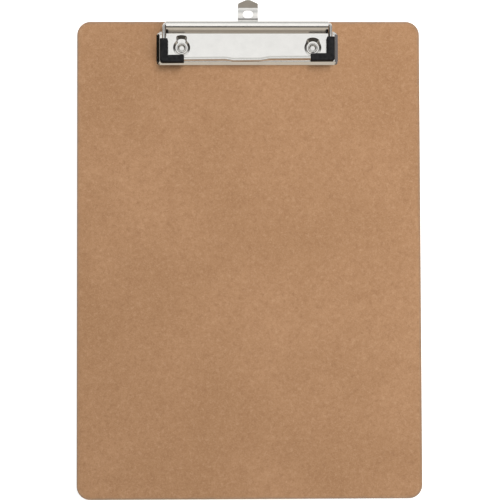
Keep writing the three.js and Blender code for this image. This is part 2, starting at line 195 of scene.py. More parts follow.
# ---- colours and patterns ----
BOARD_BROWN = (0.4, 0.226, 0.119)
BOARD_TAN = (0.465, 0.268, 0.148)
BOARD_SHADE = (0.36, 0.195, 0.1)
# greyer brown for the rounded edge: partly the cut edge's own colour, partly painted shade
BOARD_EDGE_TONE_AND_SHADE = (0.3, 0.205, 0.14)
FIBRE_DARK = (0.27, 0.14, 0.07)
FIBRE_PALE = (0.6, 0.39, 0.25)
CLUMP_DARK = (0.31, 0.165, 0.085)
CLUMP_PALE = (0.58, 0.37, 0.23)
FIBRE_WAYS = 3
FIBRE_TURN = 0.3
RUBBER_BLACK = (0.009, 0.009, 0.01)
RUBBER_DUST = (0.02, 0.02, 0.021)
# the tint of each nickel, and the size and depth of its waves
NICKEL = {
    "nickel_plate": ((0.86, 0.845, 0.82), 22, 0.012),
    "nickel_wire": ((0.92, 0.905, 0.88), 30, 0.004),
    "nickel_rivet": ((0.8, 0.785, 0.76), 6, 0.004),
    "nickel_tab": ((0.8, 0.783, 0.757), 9, 0.02),
}

# ---- fineness of the meshes ----
ARC_STEP = 6 * DEGREE
TUBE_SIDES = 32
ROUND_SIDES = 96
SECTION_CORNER_STEPS = 8
RIVET_RIM_STEPS = 30
DIMPLE_ROWS = 26
TAB_BEND_STEPS = 16
SHARP_ANGLE = 38 * DEGREE
CUT_EDGE_ANGLE = 60 * DEGREE
FLAT_ANGLE = 0.2 * DEGREE
LARGE_FACE_WEIGHT = 80
MERGE_DISTANCE = 1e-4
EDGE_BEVEL = 0.08

# ---- the stage ----
FLOOR_HALF_WIDTH_M = 4
FLOOR_GLOW = 0.4
FLOOR_GLOW_SEEN = 0.88
CAMERA_PLACE_M = (-0.0151, -0.025, 0.9)
CAMERA_TURN = (1.983 * DEGREE, -0.994 * DEGREE, -0.179 * DEGREE)
CAMERA_LENS = 97.2
CAMERA_CLIP_M = (0.01, 20)
KEY_PLACE_M = (0.45, 0.98, 1.29)
KEY_SIZE_M = 1.05
KEY_POWER = 24
FILL_PLACE_M = (1.3, -0.4, 1.0)
FILL_SIZE_M = 1.2
FILL_POWER = 15
AMBIENT_SHARE = 0.4
LIGHT_COLOR = (1, 0.985, 0.96)
CEILING_COLOR = (1.08, 1.07, 1.05)
# the lamps aim this share of the way from the part's origin to the clip
LIGHT_AIM = 0.3

# ---- values worked out from the sizes above ----
HUMP_BENDS_RISE = (HUMP_RADIUS + HUMP_FOOT_RADIUS) * (1 - math.cos(HUMP_ANGLE))
HUMP_RISE = HUMP_BENDS_RISE + HUMP_STRAIGHT * math.sin(HUMP_ANGLE)
ROLL_AXIS_HEIGHT = FLOOR_HEIGHT + HUMP_RISE - ROLL_OUTER_RADIUS
BAR_HEIGHT = FLOOR_HEIGHT + GRIP_HALF_WIDTH + REST_GAP
DIMPLE_FLOOR = REST_GAP + SHEET
TAB_BEND_START = TAB_REACH - TAB_BEND_RADIUS * math.tan(LIP_ANGLE / 2)

# ---- places taken from the frame ----
board_low, board_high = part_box("board")
plate_low, plate_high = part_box("base_plate")
PART_ORIGIN_M = Vector((0, 0, 0))
CLIP_ORIGIN_M = Vector(((plate_low.x + plate_high.x) / 2, board_high.y, board_high.z))


# ---- curves ----

def evenly(start, end, steps):
    """Evenly spaced values, both ends among them."""
    return [start + (end - start) * i / steps for i in range(steps + 1)]


def smooth_step(value):
    """A smooth rise from 0 to 1, flat outside them."""
    value = min(max(value, 0), 1)
    return value * value * (3 - 2 * value)


def rounded_path(corners):
    """(point, direction) pairs along straight runs joined by round bends.

    corners is a list of (point, bend radius); the first and last radius are not used.
    """
    points = [Vector(point) for point, _ in corners]
    path = [(points[0], (points[1] - points[0]).normalized())]
    for at, before, after, (_, bend) in zip(points[1:-1], points, points[2:], corners[1:-1]):
        back = (before - at).normalized()
        ahead = (after - at).normalized()
        half_angle = back.angle(ahead) / 2
        reach = bend / math.tan(half_angle)
        center = at + (back + ahead).normalized() * bend / math.sin(half_angle)
        first = at + back * reach - center
        last = at + ahead * reach - center
        sweep = first.angle(last)
        count = max(2, math.ceil(sweep / ARC_STEP))
        for i in range(count + 1):
            done, left = sweep * i / count, sweep * (count - i) / count
            point = center + (first * math.sin(left) + last * math.sin(done)) / math.sin(sweep)
            direction = last * math.cos(done) - first * math.cos(left)
            path.append((point, direction.normalized()))
    path.append((points[-1], (points[-1] - points[-2]).normalized()))
    return path


def rounded_line(corners):
    """The points of a rounded path drawn in a plane; each corner is ((a, b), bend radius)."""
    path = rounded_path([((a, b, 0), bend) for (a, b), bend in corners])
    return [(point.x, point.y) for point, _ in path]


def arc(center, radius, start, end, steps):
    """Points of an arc in a plane, from one angle to another."""
    return [
        (center[0] + radius * math.cos(angle), center[1] + radius * math.sin(angle))
        for angle in evenly(start, end, steps)
    ]


def full_circle(count):
    """The angles of evenly spaced points right round a circle."""
    return evenly(0, 2 * math.pi, count)[:-1]


def rounded_rectangle(left, right, bottom, top, radius, steps=12):
    """A closed outline, anticlockwise from its lower left corner."""
    corners = [(left, bottom, 1, 1), (right, bottom, -1, 1), (right, top, -1, -1), (left, top, 1, -1)]
    outline = []
    for i, (x, y, inward_x, inward_y) in enumerate(corners):
        center = (x + inward_x * radius, y + inward_y * radius)
        start = math.pi + i * math.pi / 2
        outline += arc(center, radius, start, start + math.pi / 2, steps)
    return outline


def resample(line, count, length_weight=0.15):
    """The same line with a fixed number of points, closest together where it bends."""
    weights = [0.0]
    for i in range(1, len(line)):
        before, point = Vector(line[i - 1]), Vector(line[i])
        turn = 0.0
        if i + 1 < len(line):
            turn = (point - before).angle(Vector(line[i + 1]) - point, 0)
        weights.append(weights[-1] + length_weight * (point - before).length + turn)
    made = []
    for i in range(count):
        target = weights[-1] * i / (count - 1)
        k = next(k for k in range(1, len(line)) if weights[k] >= target - 1e-9)
        share = (target - weights[k - 1]) / max(weights[k] - weights[k - 1], 1e-9)
        made.append(tuple(Vector(line[k - 1]).lerp(Vector(line[k]), min(share, 1))))
    return made


# ---- meshes ----

def add_grid(mesh, rows, closed=False, skip=None):
    """Quads between rows of points. A closed row joins its last point to its first."""
    made = [[mesh.verts.new(point) for point in row] for row in rows]
    for i in range(len(made) - 1):
        count = len(made[i])
        for j in range(count if closed else count - 1):
            if skip and skip(i, j):
                continue
            k = (j + 1) % count
            mesh.faces.new((made[i][j], made[i][k], made[i + 1][k], made[i + 1][j]))
    return made


def add_tube(mesh, path, radii, sides):
    """A round tube along (point, direction) pairs, turned without twist. Gives back its rings."""
    normal = path[0][1].orthogonal().normalized()
    rings = []
    last_direction = path[0][1]
    for (point, direction), radius in zip(path, radii):
        normal = last_direction.rotation_difference(direction) @ normal
        last_direction = direction
        across = direction.cross(normal)
        rings.append([
            point + radius * (math.cos(angle) * normal + math.sin(angle) * across)
            for angle in full_circle(sides)
        ])
    return add_grid(mesh, rings, closed=True)


def merge(mesh):
    """Joins the points where two parts of a skin meet."""
    bmesh.ops.remove_doubles(mesh, verts=mesh.verts, dist=MERGE_DISTANCE)


def fill_level(mesh, height):
    """Fills the flat region bounded by the open edges at one height, around its holes."""
    edges = [
        edge for edge in mesh.edges
        if len(edge.link_faces) < 2 and all(abs(v.co.z - height) < MERGE_DISTANCE for v in edge.verts)
    ]
    bmesh.ops.triangle_fill(mesh, use_beauty=True, edges=edges, normal=(0, 0, 1))


def face_up(mesh):
    """Turns an open skin so that its largest flat face looks up."""
    bmesh.ops.recalc_face_normals(mesh, faces=mesh.faces)
    mesh.normal_update()
    largest = max(mesh.faces, key=lambda face: face.calc_area() * abs(face.normal.z))
    if largest.normal.z < 0:
        bmesh.ops.reverse_faces(mesh, faces=mesh.faces)


def to_object(name, mesh, origin_m):
    """A bmesh in millimetres becomes an object in metres, with its origin moved to `origin_m`."""
    mesh.transform(Matrix.Translation(origin_m) @ Matrix.Scale(MM, 4))
    data = bpy.data.meshes.new(name)
    mesh.to_mesh(data)
    mesh.free()
    piece = bpy.data.objects.new(name, data)
    bpy.context.scene.collection.objects.link(piece)
    return piece


def apply_modifiers(piece):
    graph = bpy.context.evaluated_depsgraph_get()
    finished = bpy.data.meshes.new_from_object(piece.evaluated_get(graph))
    piece.modifiers.clear()
    piece.data = finished
    finished.name = piece.name


def thicken(piece, thickness):
    """Gives a skin its sheet thickness, on the inside."""
    modifier = piece.modifiers.new("thickness", "SOLIDIFY")
    modifier.thickness = thickness * MM
    modifier.offset = -1
    modifier.use_even_offset = True
    apply_modifiers(piece)


def soften_edges(piece, width=EDGE_BEVEL):
    """Takes the sharpness off cut edges."""
    modifier = piece.modifiers.new("edges", "BEVEL")
    modifier.width = width * MM
    modifier.segments = 2
    modifier.limit_method = "ANGLE"
    modifier.angle_limit = CUT_EDGE_ANGLE
    modifier.use_clamp_overlap = True
    apply_modifiers(piece)


def join_solid(piece, mesh, origin_m):
    """Joins another closed solid into a piece."""
    other = to_object("joined", mesh, origin_m)
    modifier = piece.modifiers.new("join", "BOOLEAN")
    modifier.operation = "UNION"
    modifier.solver = "EXACT"
    modifier.object = other
    apply_modifiers(piece)
    bpy.data.objects.remove(other)


def finish_piece(piece, body, nodes, material):
    """Smooth shading that keeps flats flat, the material, and the piece's place in the frame."""
    mesh = bmesh.new()
    mesh.from_mesh(piece.data)
    for face in mesh.faces:
        face.smooth = True
    for edge in mesh.edges:
        edge.smooth = edge.calc_face_angle(0) < SHARP_ANGLE
    mesh.to_mesh(piece.data)
    mesh.free()
    modifier = piece.modifiers.new("normals", "WEIGHTED_NORMAL")
    modifier.keep_sharp = True
    modifier.weight = LARGE_FACE_WEIGHT
    apply_modifiers(piece)
    piece.data.materials.clear()
    piece.data.materials.append(material)
    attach(piece, body)
    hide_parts(*nodes)


# ---- materials ----

def rgba(red, green, blue):
    return (red, green, blue, 1)


class Nodes:
    """A node tree with the few kinds of node that the materials and the surroundings share."""

    def __init__(self, tree):
        self.tree = tree

    def node(self, kind, **settings):
        made = self.tree.nodes.new(kind)
        for key, value in settings.items():
            setattr(made, key, value)
        return made

    def link(self, value, socket):
        """Sets a socket to a constant, or joins an output to it."""
        if isinstance(value, bpy.types.NodeSocket):
            self.tree.links.new(value, socket)
        else:
            socket.default_value = value

    def remap(self, value, from_low, from_high, to_low, to_high, curve="LINEAR"):
        node = self.node("ShaderNodeMapRange", interpolation_type=curve)
        for socket, given in zip(node.inputs, (value, from_low, from_high, to_low, to_high)):
            self.link(given, socket)
        return node.outputs["Result"]

    def mix(self, factor, a, b):
        node = self.node("ShaderNodeMix", data_type="RGBA")
        self.link(factor, node.inputs["Factor"])
        for given, socket in ((a, node.inputs[6]), (b, node.inputs[7])):
            self.link(given, socket)
        return node.outputs[2]


class Surface(Nodes):
    """One node material, built around a Principled shader. Patterns are in metres, fixed to the part."""

    def __init__(self, name):
        self.material = bpy.data.materials.new(name)
        self.material.use_nodes = True
        super().__init__(self.material.node_tree)
        self.shader = self.tree.nodes["Principled BSDF"]
        self.place = self.node("ShaderNodeTexCoord").outputs["Object"]

    def noise(self, size, detail=3, roughness=0.5, stretch=(1, 1, 1), turn=0, distortion=0):
        """Noise with features of about `size` millimetres, drawn out by `stretch` on axes turned about Z."""
        mapping = self.node("ShaderNodeMapping", vector_type="TEXTURE")
        mapping.inputs["Rotation"].default_value = (0, 0, turn)
        mapping.inputs["Scale"].default_value = stretch
        self.link(self.place, mapping.inputs["Vector"])
        noise = self.node("ShaderNodeTexNoise")
        noise.inputs["Scale"].default_value = 1 / (size * MM)
        noise.inputs["Detail"].default_value = detail
        noise.inputs["Roughness"].default_value = roughness
        noise.inputs["Distortion"].default_value = distortion
        self.link(mapping.outputs["Vector"], noise.inputs["Vector"])
        return noise.outputs["Fac"]

    def math(self, operation, a, b):
        node = self.node("ShaderNodeMath", operation=operation)
        self.link(a, node.inputs[0])
        self.link(b, node.inputs[1])
        return node.outputs["Value"]

    def bump(self, height, depth, below=None):
        """A normal from a height pattern of the given depth in millimetres, on top of another normal."""
        node = self.node("ShaderNodeBump")
        node.inputs["Distance"].default_value = depth * MM
        self.link(height, node.inputs["Height"])
        if below is not None:
            self.link(below, node.inputs["Normal"])
        return node.outputs["Normal"]

    def set(self, **values):
        """Sets the shader's sockets and gives the material back."""
        for key, value in values.items():
            self.link(value, self.shader.inputs[key.replace("_", " ")])
        return self.material


def hardboard():
    """Pressed brown wood fibre: mottled, finely fibrous and matt; greyer and darker at its rounded edges,
    partly the cut edge's own colour and partly painted shade.
    """
    s = Surface("hardboard")
    clouds = s.noise(80, detail=3)
    mottle = s.noise(6, detail=5, roughness=0.62)
    fibre = 0
    for i in range(FIBRE_WAYS):
        turn = FIBRE_TURN + i * math.pi / FIBRE_WAYS
        strand = s.noise(0.5, detail=3, roughness=0.6, stretch=(4, 1, 1), turn=turn, distortion=0.8)
        fibre = s.math("ADD", fibre, s.math("MULTIPLY", strand, 1 / FIBRE_WAYS))
    clump = s.noise(2.4, detail=3, roughness=0.6, distortion=0.4)
    tone = s.mix(s.remap(clouds, 0.35, 0.65, 0, 1), rgba(*BOARD_BROWN), rgba(*BOARD_TAN))
    for pattern, bare, full, most, color in (
        (mottle, 0.3, 0.7, 0.6, BOARD_SHADE),
        (fibre, 0.5, 0.39, 0.34, FIBRE_DARK),
        (fibre, 0.51, 0.61, 0.32, FIBRE_PALE),
        (clump, 0.55, 0.72, 0.5, CLUMP_DARK),
        (clump, 0.42, 0.3, 0.3, CLUMP_PALE),
    ):
        tone = s.mix(s.remap(pattern, bare, full, 0, most), tone, rgba(*color))
    # Painted shade: the rounded edge and a band beside it are greyed and darkened, partly for the cut edge's
    # own darker colour and partly for the shade on the turned edge.
    edge_tone_and_shade = s.node("ShaderNodeAttribute", attribute_name="edge_tone_and_shade").outputs["Fac"]
    edge_tone_and_shade = s.math("MULTIPLY", edge_tone_and_shade, s.remap(mottle, 0.3, 0.7, 0.55, 1))
    tone = s.mix(s.remap(edge_tone_and_shade, 0.15, 1, 0, 0.9), tone, rgba(*BOARD_EDGE_TONE_AND_SHADE))
    height = s.math("ADD", s.math("MULTIPLY", fibre, 0.7), s.math("MULTIPLY", clump, 0.5))
    return s.set(
        Base_Color=tone,
        Roughness=s.remap(fibre, 0.35, 0.65, 0.86, 0.68),
        Normal=s.bump(height, 0.09),
    )


def nickel(name):
    """Bright nickel plate: slightly wavy, with fine handling marks and a little haze."""
    tint, wave_size, wave_depth = NICKEL[name]
    s = Surface(name)
    haze = s.noise(7, detail=5, roughness=0.65)
    marks = s.noise(0.35, detail=3, roughness=0.7)
    wave = s.noise(wave_size, detail=1.5)
    dull = tuple(0.9 * channel for channel in tint)
    color = s.mix(s.remap(haze, 0.42, 0.7, 0, 0.35), rgba(*tint), rgba(*dull))
    return s.set(
        Base_Color=color,
        Metallic=1,
        Roughness=s.remap(s.math("MULTIPLY", haze, marks), 0.15, 0.45, 0.08, 0.18),
        Normal=s.bump(marks, 0.0006, below=s.bump(wave, wave_depth)),
    )


def black_rubber():
    """Moulded black rubber with a faint grain and a bloom of dust."""
    s = Surface("black_rubber")
    grain = s.noise(0.28, detail=4, roughness=0.65)
    bloom = s.noise(2.2, detail=4, roughness=0.6)
    color = s.mix(s.remap(bloom, 0.4, 0.7, 0, 1), rgba(*RUBBER_BLACK), rgba(*RUBBER_DUST))
    return s.set(
        Base_Color=color,
        Roughness=s.remap(bloom, 0.3, 0.7, 0.42, 0.58),
        Specular_IOR_Level=0.15,
        Normal=s.bump(grain, 0.012),
    )


# ---- the board ----

def board_rows():
    """The board's skin from the flat of its back, round its edge, to the flat of its front."""
    low, high = board_low / MM, board_high / MM
    edge = BOARD_EDGE_RADIUS

    def row(inset, height):
        radius = BOARD_CORNER_RADIUS - inset
        outline = rounded_rectangle(low.x + inset, high.x - inset, low.y + inset, high.y - inset, radius)
        return [(x, y, height) for x, y in outline]

    back = arc((edge, low.z + edge), edge, 1.5 * math.pi, math.pi, BOARD_EDGE_STEPS)
    front = arc((edge, high.z - edge), edge, math.pi, math.pi / 2, BOARD_EDGE_STEPS)
    band = edge + BOARD_EDGE_SHADE_BAND
    levels = [(band, low.z), *back, *front, (band, high.z)]
    return [row(inset, height) for inset, height in levels]


def board():
    mesh = bmesh.new()
    rows = board_rows()
    # the rows round the edge carry the mask of the painted edge shade and darker edge tone, which fades over
    # a band of each face
    edge_tone_and_shade = mesh.verts.layers.float.new("edge_tone_and_shade")
    made = add_grid(mesh, rows, closed=True)
    for row in made[1:-1]:
        for vertex in row:
            vertex[edge_tone_and_shade] = 1
    clip = CLIP_ORIGIN_M / MM
    faces = (board_low.z / MM, board_high.z / MM)
    for side in (-1, 1):
        center = (clip.x + side * RIVET_X, clip.y - RIVET_BACK)
        hole = arc(center, RIVET_HOLE_RADIUS, 0, 2 * math.pi, ROUND_SIDES)[:-1]
        add_grid(mesh, [[(x, y, z) for x, y in hole] for z in faces], closed=True)
    merge(mesh)
    for height in faces:
        fill_level(mesh, height)
    bmesh.ops.recalc_face_normals(mesh, faces=mesh.faces)
    piece = to_object("board_panel", mesh, PART_ORIGIN_M)
    finish_piece(piece, "board_assembly", ["board"], hardboard())


# ---- the base plate ----

def rim_profile():
    """(outset, height) pairs down the pressed rim, from the floor's flat to the cut edge at outset 0."""
    lean = math.atan2(FLOOR_HEIGHT - REST_GAP, RIM_BEVEL)
    bend_reach = RIM_BEND_RADIUS * math.tan(lean / 2)
    return rounded_line([
        ((-RIM_BEVEL - bend_reach - SUPPORT_STRIP, FLOOR_HEIGHT), 0),
        ((-RIM_BEVEL, FLOOR_HEIGHT), RIM_BEND_RADIUS),
        ((0, REST_GAP), 0),
    ])


def rim_row(outset, height):
    """One line round the rim, from the left ear's slit, past the four corners, to the right ear's slit."""
    radius = RIM_BOTTOM_RADIUS + (RIM_BOTTOM_RADIUS - RIM_TOP_RADIUS) * outset / RIM_BEVEL
    radius = max(radius, RIM_LEAST_RADIUS)
    half = PLATE_HALF_WIDTH + outset
    back_y = -PLATE_BACK + outset
    outline = rounded_rectangle(-half, half, -PLATE_FRONT - outset, back_y, radius)
    corner = len(outline) // 4
    front_and_back_right, back_left = outline[:3 * corner], outline[3 * corner:]
    ring = [(-EAR_INNER_X, back_y), *back_left, *front_and_back_right, (EAR_INNER_X, back_y)]
    return [(x, y, height) for x, y in ring]


def by_lean(center, radius, from_lean, to_lean):
    """Points on a round surface seen in the (y, z) plane, whose lean towards the front changes."""
    steps = max(3, math.ceil(abs(to_lean - from_lean) / ARC_STEP))
    return arc(center, radius, math.pi / 2 + from_lean, math.pi / 2 + to_lean, steps)


def hump_profile():
    """(y, z) points of the upper skin: off the floor, over the hump and round the hinge roll."""
    axis = Vector((-ROLL_AXIS_BACK, ROLL_AXIS_HEIGHT))
    hump = axis + Vector((0, ROLL_OUTER_RADIUS - HUMP_RADIUS))
    down = Vector((-math.cos(HUMP_ANGLE), -math.sin(HUMP_ANGLE)))
    out = Vector((-math.sin(HUMP_ANGLE), math.cos(HUMP_ANGLE)))
    foot = hump + out * (HUMP_RADIUS + HUMP_FOOT_RADIUS) + down * HUMP_STRAIGHT
    return [
        (foot.x - SUPPORT_STRIP / 2, FLOOR_HEIGHT),
        *by_lean(foot, -HUMP_FOOT_RADIUS, 0, HUMP_ANGLE),
        *by_lean(hump, HUMP_RADIUS, HUMP_ANGLE, 0),
        *by_lean(axis, ROLL_OUTER_RADIUS, 0, -ROLL_WRAP)[1:],
    ]


def add_hump(mesh):
    """The hump and roll, with the windows that the wire's feet swing through. Gives back its foot's y."""
    window = (FOOT_X - WIRE_RADIUS - FOOT_CLEARANCE, FOOT_X + FOOT_BEND + FOOT_CLEARANCE)
    columns = [-ROLL_HALF_LENGTH, -window[1], -window[0], window[0], window[1], ROLL_HALF_LENGTH]
    profile = hump_profile()
    rows = [[(x, y, z) for x in columns] for y, z in profile]
    window_columns = (1, 3)

    def in_window(i, j):
        y, z = profile[i]
        under_the_roll = i > len(profile) // 2 and z < ROLL_AXIS_HEIGHT and y > -2 * ROLL_AXIS_BACK
        return j in window_columns and under_the_roll

    add_grid(mesh, rows, skip=in_window)
    return profile[0][0]


def add_slit(mesh, side, ear_y, hump_y):
    """The open edges of the slit between an ear and the hump."""
    half_width = (EAR_INNER_X - ROLL_HALF_LENGTH) / 2
    middle = ROLL_HALF_LENGTH + half_width
    end = arc((middle, -SLIT_BACK + half_width), half_width, 0, -math.pi, SLIT_END_STEPS)
    line = [(EAR_INNER_X, ear_y), *end, (ROLL_HALF_LENGTH, hump_y)]
    made = [mesh.verts.new((side * x, y, FLOOR_HEIGHT)) for x, y in line]
    for first, second in zip(made, made[1:]):
        mesh.edges.new((first, second))


def add_dimple(mesh, side):
    """A rivet seat, pressed down to the board; towards the hump its wall runs out in a ramp."""
    center = Vector((side * RIVET_X, -RIVET_BACK, 0))
    ramp_flat, ramp_top = RAMP_RADII[side]
    fade_end, fade_width = RAMP_FADE
    columns = []
    for angle in full_circle(ROUND_SIDES):
        off_ramp = abs(angle - math.pi / 2) / RAMP_HALF_ANGLE[side]
        share = smooth_step((fade_end - off_ramp) / fade_width)
        flat = DIMPLE_FLAT_RADIUS + share * (ramp_flat - DIMPLE_FLAT_RADIUS)
        top = DIMPLE_TOP_RADIUS + share * (ramp_top - DIMPLE_TOP_RADIUS)
        line = rounded_line([
            ((RIVET_HOLE_RADIUS, DIMPLE_FLOOR), 0),
            ((flat, DIMPLE_FLOOR), DIMPLE_FOOT_BEND),
            ((top, FLOOR_HEIGHT), DIMPLE_TOP_BEND),
            ((top + DIMPLE_TOP_BEND / 2, FLOOR_HEIGHT), 0),
        ])
        direction = Vector((math.cos(angle), math.sin(angle), 0))
        columns.append([
            center + direction * radius + Vector((0, 0, height))
            for radius, height in resample(line, DIMPLE_ROWS)
        ])
    add_grid(mesh, [list(row) for row in zip(*columns)], closed=True)


def lug_solid(side):
    """A lug that hangs from the roll to the board beside the hanger tab."""
    near = HANGER_OFFSET_X + side * LUG_INNER_X
    far = near + side * LUG_WIDTH
    mesh = bmesh.new()
    bottom, top = REST_GAP, ROLL_AXIS_HEIGHT - ROLL_OUTER_RADIUS + SHEET / 2
    rows = [
        [(near, y, bottom), (far, y, bottom), (far, y, top), (near, y, top)]
        for y in (-ROLL_AXIS_BACK - SHEET / 2, -ROLL_AXIS_BACK + SHEET / 2)
    ]
    made = add_grid(mesh, rows, closed=True)
    for row in made:
        mesh.faces.new(row)
    bmesh.ops.recalc_face_normals(mesh, faces=mesh.faces)
    return mesh


def base_plate():
    mesh = bmesh.new()
    rim = [rim_row(outset, height) for outset, height in rim_profile()]
    add_grid(mesh, rim)
    hump_y = add_hump(mesh)
    ear_y = rim[0][0][1]
    for side in (-1, 1):
        add_slit(mesh, side, ear_y, hump_y)
        add_dimple(mesh, side)
    merge(mesh)
    fill_level(mesh, FLOOR_HEIGHT)
    face_up(mesh)
    piece = to_object("pressed_base_plate", mesh, CLIP_ORIGIN_M)
    thicken(piece, SHEET)
    for side in (-1, 1):
        join_solid(piece, lug_solid(side), CLIP_ORIGIN_M)
    soften_edges(piece)
    finish_piece(piece, "board_assembly", ["base_plate"], nickel("nickel_plate"))


# ---- the jaw wire ----

def axis_point(x):
    """A point on the hinge's axis."""
    return Vector((x, -ROLL_AXIS_BACK, ROLL_AXIS_HEIGHT))


def knee_point(x):
    """Where a leg stops falling and runs level to the bar."""
    return Vector((x, -KNEE_BACK, BAR_HEIGHT))


def bar_point(x, forward=0):
    """A point on the clamp bar, which sits slightly askew."""
    return Vector((x, -BAR_FRONT + BAR_SKEW * x / LEG_X - forward, BAR_HEIGHT))


def wire_half(side):
    """The wire's corners on one side, from its foot to the bow in the middle of its bar."""
    foot = Vector((0, math.sin(FOOT_LEAN), -math.cos(FOOT_LEAN))) * FOOT_LENGTH
    return [
        (axis_point(side * FOOT_X) + foot, 0),
        (axis_point(side * FOOT_X), FOOT_BEND),
        (axis_point(side * LEG_X), HINGE_BEND),
        (knee_point(side * LEG_X), KNEE_BEND),
        (bar_point(side * LEG_X), CORNER_BEND),
        (bar_point(side * (BOW_FLAT + BOW_RAMP)), BOW_BEND),
        (bar_point(side * BOW_FLAT, BOW_DEPTH), BOW_BEND),
    ]


def jaw_wire():
    path = rounded_path(wire_half(-1) + wire_half(1)[::-1])
    (first, first_way), (last, last_way) = path[0], path[-1]
    head, tail, insets = [], [], []
    for angle in evenly(0, math.pi / 2, WIRE_END_STEPS):
        along = WIRE_END_ROUND * (1 - math.cos(angle))
        head.append((first + first_way * along, first_way))
        tail.append((last - last_way * along, last_way))
        insets.append(WIRE_END_ROUND * (1 - math.sin(angle)))
    middle = path[1:-1]
    radii = [WIRE_RADIUS - inset for inset in insets + [0] * len(middle) + insets[::-1]]
    mesh = bmesh.new()
    rings = add_tube(mesh, head + middle + tail[::-1], radii, TUBE_SIDES)
    mesh.faces.new(rings[0])
    mesh.faces.new(rings[-1])
    bmesh.ops.recalc_face_normals(mesh, faces=mesh.faces)
    piece = to_object("formed_jaw_wire", mesh, CLIP_ORIGIN_M)
    finish_piece(piece, "jaw", ["jaw_wire"], nickel("nickel_wire"))


# ---- the corner grips ----

def grip_section(inset):
    """(across, up) points of the square section with rounded edges, made smaller by an inset."""
    half = GRIP_HALF_WIDTH - inset
    return rounded_rectangle(-half, half, -half, half, GRIP_EDGE_RADIUS - inset, SECTION_CORNER_STEPS)


def grip_line(side):
    """The ends and the corner of a grip's middle line: up the leg, at the corner and along the bar."""
    corner = bar_point(side * LEG_X)
    leg_end = Vector((corner.x, -GRIP_BACK + side * BAR_SKEW, BAR_HEIGHT))
    return leg_end, corner, bar_point(side * GRIP_INNER_X)


def grip_ring_paths(side, section):
    """For each section point, its own path round the elbow, from the leg's end to the bar's end."""
    leg_end, corner, bar_end = grip_line(side)
    paths = []
    for across, up in section:
        outer_share = (across + GRIP_HALF_WIDTH) / (2 * GRIP_HALF_WIDTH)
        bend = GRIP_INNER_RADIUS + (GRIP_OUTER_RADIUS - GRIP_INNER_RADIUS) * outer_share
        lift = Vector((0, 0, up))
        outward, down = Vector((side * across, 0, 0)), Vector((0, -across, 0))
        paths.append([point for point, _ in rounded_path([
            (leg_end + outward + lift, 0),
            (corner + outward + down + lift, bend),
            (bar_end + down + lift, 0),
        ])])
    return paths


def corner_grip(side, word, material):
    mesh = bmesh.new()
    rows = [list(row) for row in zip(*grip_ring_paths(side, grip_section(0)))]
    into_leg = (rows[1][0] - rows[0][0]).normalized()
    into_bar = (rows[-2][0] - rows[-1][0]).normalized()
    roundings = evenly(0, math.pi / 2, GRIP_END_STEPS)[:-1]

    def end_row(index, inward, angle):
        inset = GRIP_END_ROUND * (1 - math.sin(angle))
        along = GRIP_END_ROUND * (1 - math.cos(angle))
        paths = grip_ring_paths(side, grip_section(inset))
        return [path[index] + inward * along for path in paths]

    first = [end_row(0, into_leg, angle) for angle in roundings]
    last = [end_row(-1, into_bar, angle) for angle in reversed(roundings)]
    rows[0] = [point + into_leg * GRIP_END_ROUND for point in rows[0]]
    rows[-1] = [point + into_bar * GRIP_END_ROUND for point in rows[-1]]
    skin = add_grid(mesh, first + rows + last, closed=True)

    leg_end, corner, bar_end = grip_line(side)
    bore_path = rounded_path([(leg_end, 0), (corner, CORNER_BEND), (bar_end, 0)])
    bore = add_tube(mesh, bore_path, [GRIP_BORE_RADIUS] * len(bore_path), len(skin[0]))
    for skin_ring, bore_ring in ((skin[0], bore[0]), (skin[-1], bore[-1])):
        edges = [edge for ring in (skin_ring, bore_ring)
                 for vertex in ring for edge in vertex.link_edges if len(edge.link_faces) == 1]
        bmesh.ops.bridge_loops(mesh, edges=list(set(edges)))
    bmesh.ops.recalc_face_normals(mesh, faces=mesh.faces)
    piece = to_object(f"moulded_grip_{word}", mesh, CLIP_ORIGIN_M)
    finish_piece(piece, "jaw", [f"corner_grip_{word}"], material)


# ---- the rivets ----

def rivet_profile():
    """(radius, height) points from the middle of the back head to the bottom of the bore."""
    head_back = (board_low.z - board_high.z) / MM - REST_GAP - BACK_HEAD_HEIGHT
    head_top = head_back + BACK_HEAD_HEIGHT
    rim_under = DIMPLE_FLOOR + REST_GAP
    rim_middle = rim_under + RIVET_RIM_HEIGHT / 2
    rim_half_width = (RIVET_RIM_RADIUS - RIVET_BORE_RADIUS) / 2
    rim_center = RIVET_BORE_RADIUS + rim_half_width
    rim = [
        (rim_center + rim_half_width * math.cos(angle), rim_middle + RIVET_RIM_HEIGHT / 2 * math.sin(angle))
        for angle in evenly(-math.pi / 2, math.pi, RIVET_RIM_STEPS)
    ]
    bore_bottom = rim_under + RIVET_RIM_HEIGHT - RIVET_BORE_DEPTH
    head = rounded_line([
        ((0, head_back), 0),
        ((BACK_HEAD_RADIUS, head_back + BACK_HEAD_HEIGHT / 8), BACK_HEAD_HEIGHT / 2),
        ((BACK_HEAD_RADIUS, head_top), 0),
    ])
    bore = rounded_line([
        (rim[-1], 0),
        ((RIVET_BORE_RADIUS - RIVET_BORE_TAPER, bore_bottom), RIVET_BORE_BEND),
        ((0, bore_bottom), 0),
    ])
    return [*head, (SHANK_RADIUS, head_top), (SHANK_RADIUS, rim_under), *rim, *bore[1:]]


